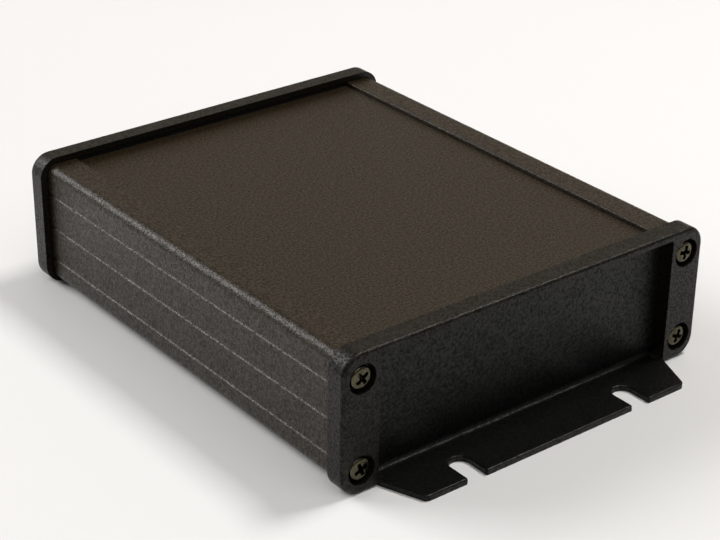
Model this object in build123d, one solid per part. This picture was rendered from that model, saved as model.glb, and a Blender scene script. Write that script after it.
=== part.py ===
"""Extruded aluminium instrument enclosure with flanged end panels and moulded end bezels.

The body is one length of extrusion, open at the top between two rails. A flat cover plate slides
into grooves under the rails. At each end a folded sheet panel lies against the end of the body and
stands in a pocket behind a plastic bezel. Four screws at each end go through bezel and panel into
ports in the body's corners. The foot of each panel is folded outwards as a mounting flange with two
open slots, and the bezels are open at the bottom to let it out.

Millimetres. X is across the box, -Y is the front end and +Z is up. The origin is in the middle of
the surface that the flanges and bezels stand on.
"""
import os

from build123d import *

# Body extrusion
body_width = 105.0
body_height = 32.1
body_length = 120.0
body_corner = 2.5
wall = 2.1
side_groove_width = 0.7
side_groove_depth = 0.35
side_groove_pitch = 9.1
side_groove_drop = 0.7

# Rails, cover plate and the groove that the plate slides in
rail_width = 8.7
rail_lip = 0.9
rail_edge_radius = 0.25
cover_thickness = 1.6
cover_bite = 2.6
cover_top_clearance = 0.1
cover_side_clearance = 0.15
ledge_reach = 2.1
ledge_thickness = 1.1

# Guides for circuit boards on the inner walls
guide_slot = 1.9
guide_rib = 1.2
guide_reach = 2.8
guide_pitch = 5.6

# Screws and the ports that hold them
screw_inset = 3.4
screw_level = 4.65
port_wall = 1.2
port_slit = 1.4
thread_diameter = 3.5
thread_clearance = 0.05
screw_length = 9.5
head_diameter = 6.0
head_height = 2.0
recess_span = 3.6
recess_width = 0.9
recess_depth = 1.5
clearance_hole = 4.0

# Flanged end panels
sheet = 1.5
panel_inset = 0.1
bend_inside_radius = 1.0
fold_set_in = 1.8
relief_width = 1.7
relief_overrun = 0.3
flange_reach = 11.25
flange_gap = 0.2
flange_taper = 4.4
flange_tip_radius = 1.8
slot_half_pitch = 25.4
slot_width = 5.5
slot_depth = 8.5
slot_mouth_radius = 0.4

# End bezels
bezel_depth = 5.25
bezel_side_lip = 2.0
bezel_top_lip = 1.75
bezel_base_lip = 1.3
bezel_corner = 5.15
bezel_edge_radius = 0.95
counterbore_web = 1.15
window_bar = 1.8
window_corner = 0.8
window_edge_break = 0.25
pocket_clearance = 0.15
counterbore_diameter = 7.2
counterbore_depth = 2.2

# How far the cross recess of each screw is turned, in degrees
front_turns = {"upper_left": 34, "upper_right": 80, "lower_left": 22, "lower_right": 68}
rear_turns = {"upper_left": 57, "upper_right": 12, "lower_left": 83, "lower_right": 40}

# Levels and places that follow from the sizes above
half_width = body_width / 2
rail_half_gap = half_width - rail_width
half_length = body_length / 2
body_bottom = bezel_base_lip
body_top = body_bottom + body_height
body_middle = body_bottom + body_height / 2
bezel_width = body_width + 2 * bezel_side_lip
bezel_height = body_top + bezel_top_lip
front_face = -half_length - bezel_depth
panel_face = -half_length - sheet
window_top = bezel_height - window_bar
lip_underside = body_top - rail_lip
cover_floor = lip_underside - cover_thickness - cover_top_clearance
cover_slot_half = rail_half_gap + cover_bite
port_x = half_width - screw_inset
port_low = body_bottom + screw_level
port_high = body_top - screw_level
port_bore = thread_diameter / 2 + thread_clearance
port_outer = port_bore + port_wall
guide_span = port_high - port_low - 2 * port_outer
guide_count = 1 + int((guide_span - guide_slot - 2 * guide_rib) / guide_pitch)
window_half_width = port_x - counterbore_diameter / 2 - counterbore_web
fold_half_width = window_half_width - fold_set_in
bend_outside_radius = bend_inside_radius + sheet
bend_line = panel_face - bend_inside_radius
flange_tip = front_face - flange_reach
flange_base_half = window_half_width - flange_gap
flange_tip_half = flange_base_half - flange_taper
seat_face = front_face + counterbore_depth


def upright(y):
    """Plane across the box at a given y, whose own y runs up and whose normal points forwards."""
    return Plane(origin=(0, y, 0), x_dir=(1, 0, 0), z_dir=(0, -1, 0))


def area(x0, x1, z0, z1):
    """Rectangle between two corners."""
    return Pos((x0 + x1) / 2, (z0 + z1) / 2) * Rectangle(abs(x1 - x0), abs(z1 - z0))


def corner_places():
    """Name and centre of the four screws, seen from outside the end they are in."""
    return {
        "upper_left": (-port_x, port_high),
        "upper_right": (port_x, port_high),
        "lower_left": (-port_x, port_low),
        "lower_right": (port_x, port_low),
    }


def turned_to_rear(shape):
    """The same piece at the other end of the box."""
    return Rot(0, 0, 180) * shape


def guide_ribs():
    """Ribs on the right inner wall that hold the edges of circuit boards."""
    inner_wall = half_width - wall / 2
    first = body_middle - guide_pitch * (guide_count - 1) / 2
    ribs = Sketch()
    for number in range(guide_count):
        centre = first + number * guide_pitch
        for side in (-1, 1):
            rib_z = centre + side * (guide_slot + guide_rib) / 2
            tip = half_width - wall - guide_reach
            ribs += area(tip, inner_wall, rib_z - guide_rib / 2, rib_z + guide_rib / 2)
    return ribs


def right_corners():
    """Solid corners and ledge on the right, before the ports and the cover groove are cut."""
    inside_wall = half_width - wall / 2
    corners = Pos(port_x, port_low) * Circle(port_outer)
    corners += area(port_x, inside_wall, body_bottom + wall / 2, port_low)
    corners += area(port_x - port_outer, port_x, body_bottom + wall / 2, port_low)
    corners += Pos(port_x, port_high) * Circle(port_outer)
    corners += area(cover_slot_half, inside_wall, port_high, lip_underside + rail_lip / 2)
    ledge_tip = cover_slot_half - ledge_reach
    corners += area(ledge_tip, port_x, cover_floor - ledge_thickness, cover_floor)
    return corners


def port_cuts():
    """Round ports on the right, each with a slit that faces the middle height."""
    cuts = Pos(port_x, port_low) * Circle(port_bore)
    cuts += Pos(port_x, port_high) * Circle(port_bore)
    slit_end = port_outer + port_wall / 2
    cuts += area(port_x - port_slit / 2, port_x + port_slit / 2, port_low, port_low + slit_end)
    cuts += area(port_x - port_slit / 2, port_x + port_slit / 2, port_high - slit_end, port_high)
    return cuts


def side_grooves():
    """Three shallow V grooves in the right outer face."""
    grooves = Sketch()
    for step in (-1, 0, 1):
        z = body_middle - side_groove_drop + step * side_groove_pitch
        half = side_groove_width / 2
        tip = (half_width - side_groove_depth, z)
        grooves += make_face(Polyline((half_width, z - half), (half_width, z + half), tip, close=True))
    return grooves


def both_sides(sketch):
    """A right-hand shape with its mirror image on the left."""
    return sketch + mirror(sketch, Plane.YZ)


def body_section():
    """Section of the extrusion: walls, corner ports, board guides, rails and cover groove."""
    outline = Pos(0, body_middle) * RectangleRounded(body_width, body_height, body_corner)
    section = outline - Pos(0, body_middle) * Rectangle(body_width - 2 * wall, body_height - 2 * wall)
    section += both_sides(right_corners() + guide_ribs()) & outline
    section -= area(-rail_half_gap, rail_half_gap, body_middle, body_top + wall)
    section -= area(-cover_slot_half, cover_slot_half, cover_floor, lip_underside)
    section -= both_sides(port_cuts() + side_grooves())
    rail_edges = [
        corner for corner in section.vertices()
        if abs(abs(corner.X) - rail_half_gap) < 0.01 and abs(corner.Y - body_top) < 0.01
    ]
    return fillet(rail_edges, rail_edge_radius)


def make_body():
    return extrude(upright(half_length) * body_section(), amount=body_length)


def make_cover():
    """Flat plate that lies on the ledges, under the rails."""
    half = cover_slot_half - cover_side_clearance
    section = area(-half, half, cover_floor, cover_floor + cover_thickness)
    return extrude(upright(half_length) * section, amount=body_length)


def screw_holes(diameter, depth, start):
    """Four cylinders that run back from a given y, one at each screw."""
    circles = Sketch()
    for x, z in corner_places().values():
        circles += Pos(x, z) * Circle(diameter / 2)
    return extrude(upright(start) * circles, amount=-depth)


def make_front_bezel():
    """Moulded frame, open at the bottom, with a pocket behind for the panel."""
    outline = Pos(0, bezel_height / 2) * RectangleRounded(bezel_width, bezel_height, bezel_corner)
    frame = extrude(upright(-half_length) * outline, amount=bezel_depth)
    frame = fillet(frame.faces().sort_by(Axis.Y)[0].edges(), bezel_edge_radius)
    tall = 2 * window_top
    window = RectangleRounded(2 * window_half_width, tall, window_corner)
    frame -= extrude(upright(-half_length) * window, amount=bezel_depth)
    edges = [
        edge for edge in frame.faces().sort_by(Axis.Y)[0].edges()
        if abs(edge.center().X) <= window_half_width and edge.center().Z < window_top + 0.01
        and edge.length > window_corner and abs(edge.center().Z) > 0.01
    ]
    frame = chamfer(edges, window_edge_break)
    pocket = Pos(0, body_middle) * RectangleRounded(
        body_width + 2 * pocket_clearance, body_height + 2 * pocket_clearance, body_corner)
    frame -= extrude(upright(-half_length) * pocket, amount=sheet)
    frame -= screw_holes(counterbore_diameter, counterbore_depth, front_face)
    frame -= screw_holes(clearance_hole, bezel_depth, front_face)
    return frame


def flange_outline():
    """Plan of the flange: narrow at the fold, widest at the bezel, tapered to its outer edge."""
    shoulder = front_face + flange_gap
    right = [
        (fold_half_width, bend_line),
        (fold_half_width, shoulder),
        (flange_base_half, shoulder),
        (flange_base_half, front_face),
        (flange_tip_half, flange_tip),
    ]
    left = [(-x, y) for x, y in reversed(right)]
    outline = make_face(Polyline(*right, *left, close=True))
    outline = fillet(outline.vertices().group_by(Axis.Y)[0], flange_tip_radius)
    arc_centre = flange_tip + slot_depth - slot_width / 2
    for side in (-1, 1):
        x = side * slot_half_pitch
        outline -= Pos(x, arc_centre) * Circle(slot_width / 2)
        outline -= area(x - slot_width / 2, x + slot_width / 2, flange_tip - sheet, arc_centre)
    mouths = [
        corner for corner in outline.vertices()
        if abs(corner.Y - flange_tip) < 0.01 and abs(corner.X) < slot_half_pitch + slot_width
    ]
    return fillet(mouths, slot_mouth_radius)


def make_bend():
    """Quarter tube between the upright sheet and the flange."""
    centre_y = bend_line
    centre_z = sheet + bend_inside_radius
    ring = Circle(bend_outside_radius) - Circle(bend_inside_radius)
    quarter = ring & area(0, bend_outside_radius, -bend_outside_radius, 0)
    side_plane = Plane(origin=(-fold_half_width, centre_y, centre_z), x_dir=(0, 1, 0), z_dir=(1, 0, 0))
    return extrude(side_plane * quarter, amount=2 * fold_half_width)


def make_front_panel():
    """Sheet panel with screw holes, relief notches, a fold and a slotted flange."""
    upright_width = body_width - 2 * panel_inset
    upright_height = body_height - 2 * panel_inset
    plate = Pos(0, body_middle) * RectangleRounded(upright_width, upright_height, body_corner)
    fold_top = bend_outside_radius
    relief_half = fold_half_width + relief_width
    plate -= area(-relief_half, relief_half, 0, fold_top + relief_overrun)
    plate += area(-fold_half_width, fold_half_width, fold_top, fold_top + 2 * relief_overrun)
    panel = extrude(upright(-half_length) * plate, amount=sheet)
    panel -= screw_holes(clearance_hole, sheet, panel_face)
    return panel + make_bend() + extrude(flange_outline(), amount=sheet)


def make_screw():
    """Screw that points down, with the seat of its head at z = 0 and a cross recess in its top."""
    shank = extrude(Circle(thread_diameter / 2), amount=-screw_length)
    head = extrude(Circle(head_diameter / 2), amount=head_height)
    cross = Rectangle(recess_span, recess_width) + Rectangle(recess_width, recess_span)
    recess = extrude(Pos(0, 0, head_height) * cross, amount=-recess_depth)
    return shank + head - recess


def make_front_screw(place, turn):
    """One screw at the front end, with its cross recess turned as given."""
    x, z = place
    return Pos(x, seat_face, z) * Rot(90, 0, 0) * Rot(0, 0, turn) * make_screw()


def all_parts():
    """Every piece by the name of its file."""
    bezel = make_front_bezel()
    panel = make_front_panel()
    parts = {
        "body": make_body(),
        "cover_plate": make_cover(),
        "front_bezel": bezel,
        "rear_bezel": turned_to_rear(bezel),
        "front_flanged_panel": panel,
        "rear_flanged_panel": turned_to_rear(panel),
    }
    for name, place in corner_places().items():
        parts[f"front_{name}_screw"] = make_front_screw(place, front_turns[name])
        parts[f"rear_{name}_screw"] = turned_to_rear(make_front_screw(place, rear_turns[name]))
    return parts


os.makedirs("parts", exist_ok=True)
for node, shape in all_parts().items():
    export_step(shape, f"parts/{node}.step")
    print(node, "volume", round(shape.volume, 1))
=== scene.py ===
"""Black anodised aluminium instrument enclosure on a pale floor, in soft window light."""
import math

import bmesh
import bpy
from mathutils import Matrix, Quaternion, Vector


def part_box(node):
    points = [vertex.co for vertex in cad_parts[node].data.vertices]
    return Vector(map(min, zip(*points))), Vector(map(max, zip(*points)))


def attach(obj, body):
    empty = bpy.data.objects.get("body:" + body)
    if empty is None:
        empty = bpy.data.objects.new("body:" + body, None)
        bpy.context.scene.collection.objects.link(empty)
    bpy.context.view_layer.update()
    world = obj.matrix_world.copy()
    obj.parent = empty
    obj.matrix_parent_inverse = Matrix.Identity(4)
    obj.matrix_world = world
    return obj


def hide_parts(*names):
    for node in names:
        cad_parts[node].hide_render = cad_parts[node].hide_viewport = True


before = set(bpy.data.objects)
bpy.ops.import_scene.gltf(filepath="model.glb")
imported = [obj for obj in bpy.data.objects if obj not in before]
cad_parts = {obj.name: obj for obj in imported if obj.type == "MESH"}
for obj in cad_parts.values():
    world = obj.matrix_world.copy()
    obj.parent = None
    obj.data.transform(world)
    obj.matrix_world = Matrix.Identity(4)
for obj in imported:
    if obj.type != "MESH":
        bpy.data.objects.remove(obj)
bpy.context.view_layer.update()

# Pieces are modelled in millimetres and brought to metres when they are done
MM = 0.001

# Axes by their place in a vector
Y, Z = 1, 2

# How edges and faces are told apart. Places less than NEAR millimetres apart count as the same, and
# PARALLEL and FACING are the cosines beyond which an edge or a face keeps to an axis
NEAR = 0.01
PARALLEL = 0.999
FACING = 0.9
SHARP_ANGLE = math.radians(50)
FLAT_ANGLE = math.radians(0.5)
SMOOTH_ANGLE = math.radians(30)

# Sides of round holes and rods, and of those that show from nearby
ROUND_SIDES = 48
FINE_SIDES = 64

# A piece for the rear end is the front one turned round
HALF_TURN = (0, 0, math.pi)

# Extruded body: outer corners, walls, V grooves and rails
BODY_CORNER = 2.5
WALL = 2.1
GROOVE_WIDTH = 0.7
GROOVE_PITCH = 9.1
GROOVE_DROP = 0.7
RAIL_WIDTH = 8.7
RAIL_LIP = 0.9
RAIL_EDGE = 0.25
COVER_BITE = 2.6

# Inside the body: screw ports, ledges under the cover and guides for circuit boards
SCREW_INSET = 3.4
SCREW_LEVEL = 4.65
PORT_OUTER = 3.0
PORT_BORE = 1.8
PORT_SLIT = 1.4
PORT_SLIT_END = 3.6
LEDGE_REACH = 2.1
LEDGE_THICKNESS = 1.1
GUIDE_SLOT = 1.9
GUIDE_RIB = 1.2
GUIDE_REACH = 2.8
GUIDE_PITCH = 5.6

# End bezels
BEZEL_CORNER = 5.15
BEZEL_EDGE = 0.95
WINDOW_CORNER = 0.8
WINDOW_EDGE = 0.25
WINDOW_BAR = 1.8
COUNTERBORE_WEB = 1.15
COUNTERBORE_RADIUS = 3.6
COUNTERBORE_DEPTH = 2.2
COUNTERBORE_EDGE = 0.12
CLEARANCE_RADIUS = 2.0
POCKET_CLEARANCE = 0.15

# Flanged sheet panels. The root is the flange's straight start behind the bezel's face
SHEET = 1.5
BEND_RADIUS = 1.2
BEND_STEPS = 12
FOLD_SET_IN = 1.8
RELIEF_WIDTH = 1.7
RELIEF_OVERRUN = 0.3
FLANGE_GAP = 0.08
FLANGE_ROOT = 0.7
FLANGE_TAPER = 4.4
FLANGE_TIP_RADIUS = 1.0
FLANGE_EDGE = 0.36
SLOT_HALF_PITCH = 25.4
SLOT_WIDTH = 5.5
SLOT_DEPTH = 8.5
SLOT_MOUTH_RADIUS = 0.4

# Pan head screws. The dome is a superellipse: a fullness of 2 would make it an ellipse
HEAD_RADIUS = 2.8
HEAD_HEIGHT = 2.0
HEAD_SIDE = 1.2
HEAD_FULLNESS = 2.6
DOME_STEPS = 12
SHANK_RADIUS = 1.75
SHANK_LENGTH = 9.5

# Their cross recess. The floor of each slot is a share of its mouth in length and in width
RECESS_SPAN = 3.6
RECESS_WIDTH = 0.95
RECESS_CENTRE = 0.85
RECESS_DEPTH = 1.5
RECESS_EDGE = 0.06
RECESS_SIDES = 24
FLOOR_SPAN_SHARE = 0.7
FLOOR_WIDTH_SHARE = 0.8

# How far each recess happens to be turned, in degrees
FRONT_TURNS = {"upper_left": 34, "upper_right": 80, "lower_left": 22, "lower_right": 68}
REAR_TURNS = {"upper_left": 57, "upper_right": 12, "lower_left": 83, "lower_right": 40}

# The camera stands in front of the left corner and looks down on the box
CAMERA_PLACE = Vector((-266.57, -336.56, 234.37)) * MM
CAMERA_TARGET = Vector((-0.24, -2.35, 13.44)) * MM
CAMERA_ROLL = math.radians(0.80)
CAMERA_LENS = 95.91
SENSOR_WIDTH = 36.0
NEAREST_SEEN = 10 * MM

# Floor, in metres
FLOOR_SIZE = 6.0

# Noise of the grain: its octaves, the weight of the finer ones, and where most of its values lie
GRAIN_DETAIL = 3.0
GRAIN_ROUGHNESS = 0.75
GRAIN_LOW = 0.38
GRAIN_HIGH = 0.62

# Etch pits and moulding texture are taken as about 0.1 mm across and are drawn this coarse to show
DRAWN_GRAIN = 0.6

# The Mix node repeats its socket names for each data type, so its colour sockets go by number
MIX_COLOUR_A = 6
MIX_COLOUR_B = 7
MIX_COLOUR_RESULT = 2


def ends(node):
    """Lowest and highest corner of a CAD node, in millimetres."""
    low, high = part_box(node)
    return low / MM, high / MM


body_low, body_high = ends("body")
cover_low = ends("cover_plate")[0]
bezel_low, bezel_high = ends("front_bezel")
panel_low, panel_high = ends("front_flanged_panel")
BODY_MIDDLE = (body_low.z + body_high.z) / 2
INNER_HALF = body_high.x - WALL
LIP_UNDERSIDE = body_high.z - RAIL_LIP
RAIL_HALF_GAP = body_high.x - RAIL_WIDTH
COVER_SLOT_HALF = RAIL_HALF_GAP + COVER_BITE
PORT_X = body_high.x - SCREW_INSET
PORT_LOW = body_low.z + SCREW_LEVEL
PORT_HIGH = body_high.z - SCREW_LEVEL
WINDOW_HALF = PORT_X - COUNTERBORE_RADIUS - COUNTERBORE_WEB
PANEL_FACE = body_low.y - SHEET
FOLD_TOP = BEND_RADIUS + SHEET
SEAT_FACE = bezel_low.y + COUNTERBORE_DEPTH
CORNERS = {
    "upper_left": (-PORT_X, PORT_HIGH),
    "upper_right": (PORT_X, PORT_HIGH),
    "lower_left": (-PORT_X, PORT_LOW),
    "lower_right": (PORT_X, PORT_LOW),
}


def deselect():
    """Leaves nothing selected, so that the next operator acts on its own piece alone."""
    bpy.ops.object.select_all(action="DESELECT")


def pick(piece):
    """Selects one piece and makes it the active one."""
    deselect()
    piece.select_set(True)
    bpy.context.view_layer.objects.active = piece


def settle():
    """Puts the place, turn and scale of the selected piece into its mesh, and returns the piece."""
    bpy.ops.object.transform_apply(location=True, rotation=True, scale=True)
    return bpy.context.object


def bar(x, y, z, turn=0.0):
    """Rectangular bar between two places on each axis, turned about its own Y axis."""
    spans = [sorted(span) for span in (x, y, z)]
    deselect()
    bpy.ops.mesh.primitive_cube_add(
        size=1, location=[(a + b) / 2 for a, b in spans], rotation=(0, turn, 0),
        scale=[b - a for a, b in spans])
    return settle()


def rod(x, z, radius, y, sides=ROUND_SIDES):
    """Round bar along Y."""
    deselect()
    bpy.ops.mesh.primitive_cylinder_add(
        vertices=sides, radius=radius, depth=abs(y[1] - y[0]), location=(x, sum(y) / 2, z),
        rotation=(math.pi / 2, 0, 0))
    return settle()


def combine(piece, tool, operation):
    """Joins the tool to the piece or takes it away. The tool is used up."""
    step = piece.modifiers.new("combine", "BOOLEAN")
    step.operation = operation
    step.solver = "EXACT"
    step.object = tool
    bpy.context.view_layer.objects.active = piece
    bpy.ops.object.modifier_apply(modifier=step.name)
    bpy.data.objects.remove(tool)


def cut(piece, *tools):
    """Cuts each tool out of the piece."""
    for tool in tools:
        combine(piece, tool, "DIFFERENCE")


def add(piece, *tools):
    """Joins each tool to the piece."""
    for tool in tools:
        combine(piece, tool, "UNION")


def open_for_edit(piece, mode):
    """Edit mode on one piece, with nothing selected."""
    pick(piece)
    bpy.ops.object.mode_set(mode="EDIT")
    bpy.ops.mesh.select_mode(type=mode)
    bpy.ops.mesh.select_all(action="DESELECT")
    return bmesh.from_edit_mesh(piece.data)


def select_edges(piece, wanted):
    """Edit mode with the edges selected that the test wants."""
    shape = open_for_edit(piece, "EDGE")
    for edge in shape.edges:
        edge.select_set(wanted(edge))
    bmesh.update_edit_mesh(piece.data)


def select_faces(piece, wanted):
    """Edit mode with the faces selected that the test wants."""
    shape = open_for_edit(piece, "FACE")
    for face in shape.faces:
        face.select_set(wanted(face))
    bmesh.update_edit_mesh(piece.data)


def close_edit():
    """Back to object mode."""
    bpy.ops.object.mode_set(mode="OBJECT")


def round_edges(piece, wanted, radius, segments, clamp=True):
    """Rounds the edges that the test wants. Clamping keeps the radius within short edges nearby."""
    select_edges(piece, wanted)
    bpy.ops.mesh.bevel(offset=radius, segments=segments, affect="EDGES", clamp_overlap=clamp)
    close_edit()


def along(edge, axis):
    """Whether an edge runs along an axis."""
    run = edge.verts[1].co - edge.verts[0].co
    return abs(run[axis]) > PARALLEL * run.length


def at(edge, axis, place):
    """Whether both ends of an edge lie at a place on an axis."""
    return all(abs(vert.co[axis] - place) < NEAR for vert in edge.verts)


def sharp(edge):
    """Whether two faces meet at the edge at a clear angle."""
    return len(edge.link_faces) == 2 and edge.calc_face_angle() > SHARP_ANGLE


def tidy(piece):
    """Merges doubles and flat neighbours that combining leaves behind."""
    open_for_edit(piece, "VERT")
    bpy.ops.mesh.select_all(action="SELECT")
    bpy.ops.mesh.remove_doubles(threshold=NEAR / 10)
    bpy.ops.mesh.dissolve_limited(angle_limit=FLAT_ANGLE)
    bpy.ops.mesh.normals_make_consistent(inside=False)
    close_edit()


def add_inner_ribs(body, side, length):
    """Screw ports and their webs, the ledge under the cover and the board guides of one side."""
    port = side * PORT_X
    wall_middle = side * (body_high.x - WALL / 2)
    floor_middle = body_low.z + WALL / 2
    ledge = side * (COVER_SLOT_HALF - LEDGE_REACH)
    add(
        body,
        rod(port, PORT_LOW, PORT_OUTER, length),
        rod(port, PORT_HIGH, PORT_OUTER, length),
        bar((side * (PORT_X - PORT_OUTER), wall_middle), length, (floor_middle, PORT_LOW)),
        bar((side * COVER_SLOT_HALF, port), length, (PORT_HIGH, LIP_UNDERSIDE + RAIL_LIP / 2)),
        bar((port, wall_middle), length, (PORT_HIGH, body_high.z - WALL / 2)),
        bar((ledge, port), length, (cover_low.z - LEDGE_THICKNESS, cover_low.z)))
    guide = side * (INNER_HALF - GUIDE_REACH)
    for centre in (BODY_MIDDLE - GUIDE_PITCH, BODY_MIDDLE, BODY_MIDDLE + GUIDE_PITCH):
        for level in (centre - GUIDE_SLOT / 2, centre + GUIDE_SLOT / 2 + GUIDE_RIB):
            add(body, bar((guide, wall_middle), length, (level - GUIDE_RIB, level)))


def cut_cover_slot(body, through):
    """The opening between the rails, and the slot under them that holds the cover plate."""
    cut(
        body,
        bar((-RAIL_HALF_GAP, RAIL_HALF_GAP), through, (BODY_MIDDLE, body_high.z + WALL)),
        bar((-COVER_SLOT_HALF, COVER_SLOT_HALF), through, (cover_low.z, LIP_UNDERSIDE)))


def cut_ports(body, side, through):
    """Bores of the screw ports of one side, each slit open towards mid height."""
    port = side * PORT_X
    slit = (port - PORT_SLIT / 2, port + PORT_SLIT / 2)
    cut(
        body,
        rod(port, PORT_LOW, PORT_BORE, through),
        rod(port, PORT_HIGH, PORT_BORE, through),
        bar(slit, through, (PORT_LOW, PORT_LOW + PORT_SLIT_END)),
        bar(slit, through, (PORT_HIGH - PORT_SLIT_END, PORT_HIGH)))


def cut_grooves(body, side, through):
    """Three V grooves in the outside of one side, each cut by the corner of a turned bar."""
    edge = side * body_high.x
    half_bar = GROOVE_WIDTH / 2 / math.sqrt(2)
    for step in (-1, 0, 1):
        level = BODY_MIDDLE - GROOVE_DROP + step * GROOVE_PITCH
        cut(body, bar(
            (edge - half_bar, edge + half_bar), through, (level - half_bar, level + half_bar),
            turn=math.pi / 4))


def make_body():
    """One length of extrusion, open at the top between two rails."""
    length = (body_low.y, body_high.y)
    through = (body_low.y - WALL, body_high.y + WALL)
    body = bar((body_low.x, body_high.x), length, (body_low.z, body_high.z))
    round_edges(body, lambda edge: along(edge, Y), BODY_CORNER, segments=14)
    cut(body, bar((-INNER_HALF, INNER_HALF), through, (body_low.z + WALL, body_high.z - WALL)))
    for side in (1, -1):
        add_inner_ribs(body, side, length)
    cut_cover_slot(body, through)
    for side in (1, -1):
        cut_ports(body, side, through)
        cut_grooves(body, side, through)
    tidy(body)
    round_edges(
        body, lambda edge: along(edge, Y) and at(edge, Z, body_high.z) and sharp(edge),
        RAIL_EDGE, segments=4)
    return body


def make_front_bezel():
    """Moulded frame, open at the bottom, with a pocket behind for the panel."""
    depth = (bezel_low.y, bezel_high.y)
    through = (bezel_low.y - SHEET, bezel_high.y + SHEET)
    bezel = bar((bezel_low.x, bezel_high.x), depth, (bezel_low.z, bezel_high.z))
    round_edges(bezel, lambda edge: along(edge, Y), BEZEL_CORNER, segments=18)
    round_edges(bezel, lambda edge: at(edge, Y, bezel_low.y), BEZEL_EDGE, segments=6)

    window_top = bezel_high.z - WINDOW_BAR
    window = bar((-WINDOW_HALF, WINDOW_HALF), through, (bezel_low.z - SHEET, window_top))
    round_edges(
        window, lambda edge: along(edge, Y) and at(edge, Z, window_top), WINDOW_CORNER, segments=5)
    cut(bezel, window)
    pocket = bar(
        (body_low.x - POCKET_CLEARANCE, body_high.x + POCKET_CLEARANCE), (PANEL_FACE, through[1]),
        (body_low.z - POCKET_CLEARANCE, body_high.z + POCKET_CLEARANCE))
    round_edges(pocket, lambda edge: along(edge, Y), BODY_CORNER, segments=10)
    cut(bezel, pocket)
    for x, z in CORNERS.values():
        cut(
            bezel,
            rod(x, z, COUNTERBORE_RADIUS, (through[0], SEAT_FACE), FINE_SIDES),
            rod(x, z, CLEARANCE_RADIUS, through))
    tidy(bezel)

    def on_face(edge):
        return at(edge, Y, bezel_low.y) and sharp(edge)

    def on_window(edge):
        return all(
            abs(vert.co.x) < WINDOW_HALF + NEAR and vert.co.z < window_top + NEAR
            for vert in edge.verts)

    round_edges(bezel, lambda edge: on_face(edge) and on_window(edge), WINDOW_EDGE, segments=3)
    round_edges(
        bezel, lambda edge: on_face(edge) and not on_window(edge), COUNTERBORE_EDGE, segments=2)
    return bezel


def fold(strip):
    """Bends the foot of the strip forwards, up to where the flange starts."""
    bend_line = PANEL_FACE - BEND_RADIUS
    select_faces(strip, lambda face: face.normal.z < -FACING)
    bpy.ops.mesh.delete(type="ONLY_FACE")
    close_edit()
    select_edges(strip, lambda edge: edge.is_boundary)
    bpy.ops.mesh.spin(
        steps=BEND_STEPS, angle=math.pi / 2, center=(0, bend_line, FOLD_TOP), axis=(1, 0, 0))
    bpy.ops.mesh.extrude_edges_move(
        TRANSFORM_OT_translate={"value": (0, bezel_low.y - bend_line, 0)})
    bpy.ops.mesh.edge_face_add()
    close_edit()


def make_flange():
    """Flat foot that narrows from the bezel's face to its outer edge."""
    base_half = WINDOW_HALF - FLANGE_GAP
    tip_half = base_half - FLANGE_TAPER
    flange = bar((-base_half, base_half), (bezel_low.y, bezel_low.y + FLANGE_ROOT), (0, SHEET))
    select_faces(flange, lambda face: face.normal.y < -FACING)
    bpy.ops.mesh.extrude_region_move(
        TRANSFORM_OT_translate={"value": (0, panel_low.y - bezel_low.y, 0)})
    bpy.ops.transform.resize(
        value=(tip_half / base_half, 1, 1), center_override=(0, panel_low.y, 0))
    close_edit()
    return flange


def cut_slots(panel):
    """Two open slots in the outer edge of the flange."""
    half_width = SLOT_WIDTH / 2
    centre_y = panel_low.y + SLOT_DEPTH - half_width
    for side in (1, -1):
        x = side * SLOT_HALF_PITCH
        deselect()
        bpy.ops.mesh.primitive_cylinder_add(
            vertices=FINE_SIDES, radius=half_width, depth=3 * SHEET, location=(x, centre_y, 0))
        inner_end = settle()
        mouth = bar(
            (x - half_width, x + half_width), (panel_low.y - SHEET, centre_y), (-SHEET, 2 * SHEET))
        cut(panel, inner_end, mouth)


def make_front_panel():
    """Sheet panel with screw holes, relief notches, a fold and a slotted flange."""
    thickness = (PANEL_FACE, body_low.y)
    through = (PANEL_FACE - SHEET, body_low.y + SHEET)
    fold_half = WINDOW_HALF - FOLD_SET_IN
    strip = bar((-fold_half, fold_half), thickness, (FOLD_TOP, 2 * FOLD_TOP))
    fold(strip)
    tidy(strip)

    side_clearance = body_high.x - panel_high.x
    panel = bar(
        (panel_low.x, panel_high.x), thickness, (body_low.z + side_clearance, panel_high.z))
    round_edges(panel, lambda edge: along(edge, Y), BODY_CORNER, segments=10)
    relief_half = fold_half + RELIEF_WIDTH
    cut(panel, bar((-relief_half, relief_half), through, (0, FOLD_TOP + RELIEF_OVERRUN)))
    add(panel, strip, make_flange())
    for x, z in CORNERS.values():
        cut(panel, rod(x, z, CLEARANCE_RADIUS, through))
    cut_slots(panel)
    tidy(panel)

    def upright_at_tip(edge, inner, outer):
        return (along(edge, Z) and at(edge, Y, panel_low.y)
                and inner < abs(edge.verts[0].co.x) < outer)

    def top_rim(edge):
        return (at(edge, Z, SHEET) and sharp(edge)
                and max(vert.co.y for vert in edge.verts) < bezel_low.y + NEAR)

    slot_reach = SLOT_HALF_PITCH + SLOT_WIDTH
    round_edges(
        panel, lambda edge: upright_at_tip(edge, slot_reach, PORT_X), FLANGE_TIP_RADIUS, segments=8)
    round_edges(
        panel, lambda edge: upright_at_tip(edge, 0, slot_reach), SLOT_MOUTH_RADIUS, segments=4)
    round_edges(panel, top_rim, FLANGE_EDGE, segments=3, clamp=False)
    return panel


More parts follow.
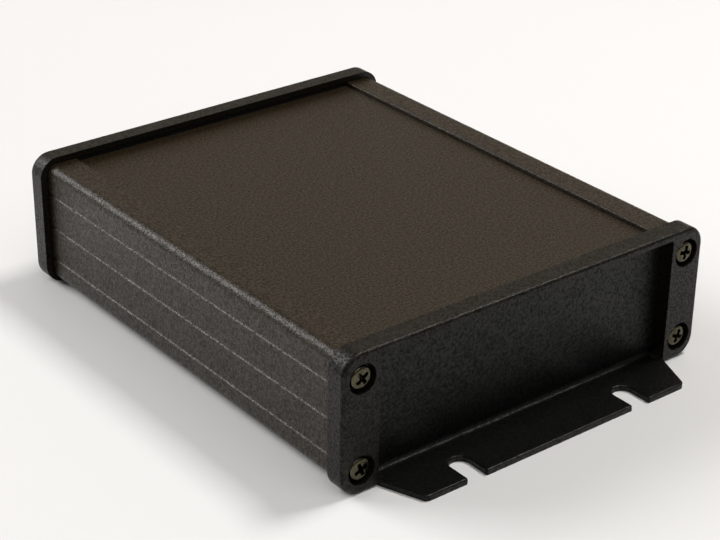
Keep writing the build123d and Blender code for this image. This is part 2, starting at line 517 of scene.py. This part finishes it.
def raise_dome():
    """Carries the selected rim of a head up in rings that narrow towards its axis."""
    rise = HEAD_HEIGHT - HEAD_SIDE
    height, radius = HEAD_SIDE, HEAD_RADIUS
    for step in range(1, DOME_STEPS):
        turn = math.pi / 2 * step / DOME_STEPS
        next_height = HEAD_SIDE + rise * math.sin(turn) ** (2 / HEAD_FULLNESS)
        next_radius = HEAD_RADIUS * math.cos(turn) ** (2 / HEAD_FULLNESS)
        bpy.ops.mesh.extrude_edges_move(
            TRANSFORM_OT_translate={"value": (0, 0, next_height - height)})
        shrink = next_radius / radius
        bpy.ops.transform.resize(
            value=(shrink, shrink, 1), center_override=(0, 0, next_height))
        height, radius = next_height, next_radius


def recess_wing(turn):
    """One of the two crossing slots of the recess, smaller at its floor."""
    half_span, half_width = RECESS_SPAN / 2, RECESS_WIDTH / 2
    floor = HEAD_HEIGHT - RECESS_DEPTH
    wing = bar((-half_span, half_span), (-half_width, half_width), (floor, HEAD_HEIGHT))
    select_faces(wing, lambda face: face.normal.z < -FACING)
    bpy.ops.transform.resize(
        value=(FLOOR_SPAN_SHARE, FLOOR_WIDTH_SHARE, 1), center_override=(0, 0, floor))
    close_edit()
    wing.rotation_euler.z = turn
    return settle()


def recess_centre():
    """The tapered core of the recess, which rounds the corners between its wings."""
    deselect()
    bpy.ops.mesh.primitive_cone_add(
        vertices=RECESS_SIDES, radius1=RECESS_CENTRE / 2, radius2=RECESS_CENTRE,
        depth=RECESS_DEPTH, location=(0, 0, HEAD_HEIGHT - RECESS_DEPTH / 2))
    return settle()


def make_screw():
    """Pan head screw that points down, with the seat of its head at z = 0."""
    deselect()
    bpy.ops.mesh.primitive_circle_add(vertices=FINE_SIDES, radius=HEAD_RADIUS, fill_type="NGON")
    screw = bpy.context.object
    select_faces(screw, lambda face: True)
    bpy.ops.mesh.inset(thickness=HEAD_RADIUS - SHANK_RADIUS)
    bpy.ops.mesh.extrude_region_move(TRANSFORM_OT_translate={"value": (0, 0, -SHANK_LENGTH)})
    close_edit()
    select_edges(screw, lambda edge: edge.is_boundary)
    bpy.ops.mesh.extrude_edges_move(TRANSFORM_OT_translate={"value": (0, 0, HEAD_SIDE)})
    raise_dome()
    bpy.ops.mesh.edge_face_add()
    bpy.ops.mesh.select_all(action="SELECT")
    bpy.ops.mesh.normals_make_consistent(inside=False)
    close_edit()

    for quarter in (0, math.pi / 2):
        cut(screw, recess_wing(quarter))
    cut(screw, recess_centre())
    round_edges(
        screw, lambda edge: sharp(edge) and min(vert.co.z for vert in edge.verts) > HEAD_SIDE,
        RECESS_EDGE, segments=2)
    return screw


def copy_of(piece):
    """A second object with its own mesh."""
    twin = piece.copy()
    twin.data = piece.data.copy()
    bpy.context.scene.collection.objects.link(twin)
    return twin


def put(piece, turn=(0, 0, 0), place=(0, 0, 0)):
    """Turns and moves a piece, and puts its place into its mesh."""
    pick(piece)
    piece.rotation_euler = turn
    piece.location = place
    settle()


def finish_piece(piece, node, material):
    """Brings a piece to metres, shades it, and lets it stand for its CAD node."""
    piece.name = node + "_piece"
    piece.scale = (MM, MM, MM)
    put(piece)
    bpy.ops.object.shade_smooth_by_angle(angle=SMOOTH_ANGLE)
    weigh = piece.modifiers.new("weigh", "WEIGHTED_NORMAL")
    weigh.keep_sharp = True
    bpy.ops.object.modifier_apply(modifier=weigh.name)
    piece.data.materials.append(material)
    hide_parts(node)
    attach(piece, "root")


def finish_both_ends(front, node, material):
    """Finishes a front piece and its copy, turned round for the rear end."""
    rear = copy_of(front)
    put(rear, turn=HALF_TURN)
    finish_piece(front, "front_" + node, material)
    finish_piece(rear, "rear_" + node, material)


def add_screws(material):
    """The eight screws in their counterbores, each with its own turn."""
    pattern = make_screw()
    for corner, (x, z) in CORNERS.items():
        for end, turns in (("front", FRONT_TURNS), ("rear", REAR_TURNS)):
            screw = copy_of(pattern)
            put(screw, turn=(0, 0, math.radians(turns[corner])))
            put(screw, turn=(math.pi / 2, 0, 0), place=(x, SEAT_FACE, z))
            if end == "rear":
                put(screw, turn=HALF_TURN)
            finish_piece(screw, f"{end}_{corner}_screw", material)
    bpy.data.objects.remove(pattern)


def add_camera():
    """Long lens from the front left, rolled by less than a degree."""
    camera = bpy.data.objects.new("camera", bpy.data.cameras.new("camera"))
    bpy.context.scene.collection.objects.link(camera)
    camera.data.sensor_width = SENSOR_WIDTH
    camera.data.lens = CAMERA_LENS
    camera.data.clip_start = NEAREST_SEEN
    camera.location = CAMERA_PLACE
    look = (CAMERA_TARGET - CAMERA_PLACE).to_track_quat("-Z", "Y")
    camera.rotation_mode = "QUATERNION"
    camera.rotation_quaternion = look @ Quaternion((0, 0, 1), CAMERA_ROLL)
    bpy.context.scene.camera = camera


def linear(hex_colour):
    """The linear colour, with full alpha, that an sRGB hex value stands for."""
    channels = [int(hex_colour[i:i + 2], 16) / 255 for i in (1, 3, 5)]
    return [c / 12.92 if c <= 0.04045 else ((c + 0.055) / 1.055) ** 2.4 for c in channels] + [1.0]


def add_node(material, kind, settings=None, links=None):
    """Adds a node, sets its properties and sockets, and links outputs of other nodes into it."""
    node = material.node_tree.nodes.new(kind)
    for name, value in (settings or {}).items():
        if name in node.inputs:
            node.inputs[name].default_value = value
        else:
            setattr(node, name, value)
    for name, output in (links or {}).items():
        material.node_tree.links.new(output, node.inputs[name])
    return node


def new_material(name):
    """An empty material, without nodes."""
    material = bpy.data.materials.new(name)
    material.use_nodes = True
    material.node_tree.nodes.clear()
    return material


def finish_material(material, shader):
    """Links the shader to the material's output."""
    add_node(material, "ShaderNodeOutputMaterial", links={"Surface": shader.outputs[0]})
    return material


def grain(material, size, depth):
    """Pits of a size and depth in millimetres. Returns their pattern and the normal they give."""
    place = add_node(material, "ShaderNodeTexCoord").outputs["Object"]
    pits = add_node(
        material, "ShaderNodeTexNoise",
        {"Scale": 1 / (size * MM), "Detail": GRAIN_DETAIL, "Roughness": GRAIN_ROUGHNESS},
        {"Vector": place}).outputs[0]
    relief = add_node(
        material, "ShaderNodeBump", {"Strength": 1.0, "Distance": depth * MM}, {"Height": pits})
    return pits, relief.outputs[0]


def spread(material, pits, low, high):
    """Turns the pattern of the pits into a value between two limits."""
    ramp = add_node(
        material, "ShaderNodeMapRange",
        {"From Min": GRAIN_LOW, "From Max": GRAIN_HIGH, "To Min": low, "To Max": high},
        {"Value": pits})
    return ramp.outputs[0]


def tint(material, pits, dark, light):
    """Colour that goes from a dark to a light tone with the pits."""
    mix = add_node(
        material, "ShaderNodeMix", {"data_type": "RGBA"}, {"Factor": spread(material, pits, 0, 1)})
    mix.inputs[MIX_COLOUR_A].default_value = linear(dark)
    mix.inputs[MIX_COLOUR_B].default_value = linear(light)
    return mix.outputs[MIX_COLOUR_RESULT]


def anodised_extrusion():
    """Black dyed anodised 6063 aluminium, etched matt before the bath.

    The eye gets a warm black satin that breaks up into fine sparks where it turns to the light. The
    dyed oxide hides the metal under it, so the shader isn't metallic.
    """
    material = new_material("black_anodised_extrusion")
    pits, normal = grain(material, DRAWN_GRAIN, depth=0.15)
    shader = add_node(
        material, "ShaderNodeBsdfPrincipled",
        {"IOR": 1.45},
        {"Base Color": tint(material, pits, "#150F08", "#282012"),
         "Roughness": spread(material, pits, 0.34, 0.24),
         "Specular IOR Level": spread(material, pits, 0.14, 0.46), "Normal": normal})
    return finish_material(material, shader)


def anodised_sheet():
    """Black dyed anodised 5052 aluminium sheet, etched more lightly than the extrusion.

    The eye gets a deeper, nearly neutral black with a fine grain and a faint line along its rounded
    edges. Here too the dyed oxide hides the metal.
    """
    material = new_material("black_anodised_sheet")
    pits, normal = grain(material, DRAWN_GRAIN, depth=0.12)
    shader = add_node(
        material, "ShaderNodeBsdfPrincipled",
        {"IOR": 1.45},
        {"Base Color": tint(material, pits, "#050505", "#0A0A09"),
         "Roughness": spread(material, pits, 0.38, 0.28),
         "Specular IOR Level": spread(material, pits, 0.1, 0.4), "Normal": normal})
    return finish_material(material, shader)


def moulded_abs():
    """Black ABS, moulded in a tool with a fine spark-eroded texture.

    The eye gets an even satin black, a little softer than the aluminium beside it.
    """
    material = new_material("black_abs_moulding")
    pits, normal = grain(material, DRAWN_GRAIN, depth=0.15)
    shader = add_node(
        material, "ShaderNodeBsdfPrincipled",
        {"IOR": 1.46},
        {"Base Color": tint(material, pits, "#0A0805", "#16120A"),
         "Roughness": spread(material, pits, 0.38, 0.28),
         "Specular IOR Level": spread(material, pits, 0.08, 0.32), "Normal": normal})
    return finish_material(material, shader)


def oxide_steel():
    """Steel screws, cold headed and turned black in an oxide bath.

    The eye gets a dark olive metal with clear glints on its rounded rim and on the lips of the
    recess. Its mottling is drawn 0.4 mm across, coarser than it is, to show on so small a head.
    """
    material = new_material("black_oxide_steel")
    pits, normal = grain(material, size=0.4, depth=0.02)
    shader = add_node(
        material, "ShaderNodeBsdfPrincipled",
        {"Metallic": 1.0},
        {"Base Color": tint(material, pits, "#3C392D", "#5E5948"),
         "Roughness": spread(material, pits, 0.24, 0.15), "Normal": normal})
    return finish_material(material, shader)


def give(name, material):
    """Gives a CAD node a material."""
    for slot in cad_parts[name].material_slots:
        slot.material = material


def add_lamp(name, size, place, power, colour):
    """Soft rectangular lamp that points at the floor under the box, hidden from the camera."""
    lamp = bpy.data.objects.new(name, bpy.data.lights.new(name, "AREA"))
    bpy.context.scene.collection.objects.link(lamp)
    lamp.data.shape = "RECTANGLE"
    lamp.data.size, lamp.data.size_y = size
    lamp.data.energy = power
    lamp.data.color = linear(colour)[:3]
    lamp.visible_camera = False
    lamp.location = place
    lamp.rotation_mode = "QUATERNION"
    lamp.rotation_quaternion = (-Vector(place)).to_track_quat("-Z", "Y")


def add_world(strength, colour):
    """Even light from the pale room."""
    world = bpy.data.worlds.new("room")
    world.use_nodes = True
    background = world.node_tree.nodes["Background"]
    background.inputs["Color"].default_value = linear(colour)
    background.inputs["Strength"].default_value = strength
    bpy.context.scene.world = world


def add_floor():
    """Pale, slightly matt floor."""
    deselect()
    bpy.ops.mesh.primitive_plane_add(size=FLOOR_SIZE, location=(0, 0, 0))
    floor = bpy.context.object
    floor.name = "floor"
    material = new_material("white_table")
    shader = add_node(
        material, "ShaderNodeBsdfPrincipled",
        {"Base Color": linear("#DADBDC"), "Roughness": 0.6})
    floor.data.materials.append(finish_material(material, shader))


extrusion_black = anodised_extrusion()
sheet_black = anodised_sheet()
moulded_black = moulded_abs()
screw_black = oxide_steel()

give("cover_plate", extrusion_black)
finish_piece(make_body(), "body", extrusion_black)
finish_both_ends(make_front_bezel(), "bezel", moulded_black)
finish_both_ends(make_front_panel(), "flanged_panel", sheet_black)
add_screws(screw_black)

add_camera()
add_floor()
add_world(strength=0.17, colour="#FCF8F2")

# Behind left, for the bright band on the top left edge
add_lamp("window", size=(1.5, 1.1), place=(-1.12, 1.68, 1.30), power=50, colour="#FEFCFA")

# Behind right, for the sheen on the top
add_lamp("wall", size=(2.4, 1.35), place=(1.20, 1.53, 1.05), power=4.6, colour="#FFEBD6")

# Small and to the right, for the line on the front bezel's upper edge
add_lamp("ceiling", size=(0.3, 0.3), place=(0.58, -0.12, 1.07), power=9.5, colour="#FFFBF6")

# In front, for the floor there
add_lamp("fill", size=(1.2, 1.2), place=(-0.1, -0.75, 1.1), power=6, colour="#FEFCFA")

bpy.context.scene.view_settings.view_transform = "Standard"
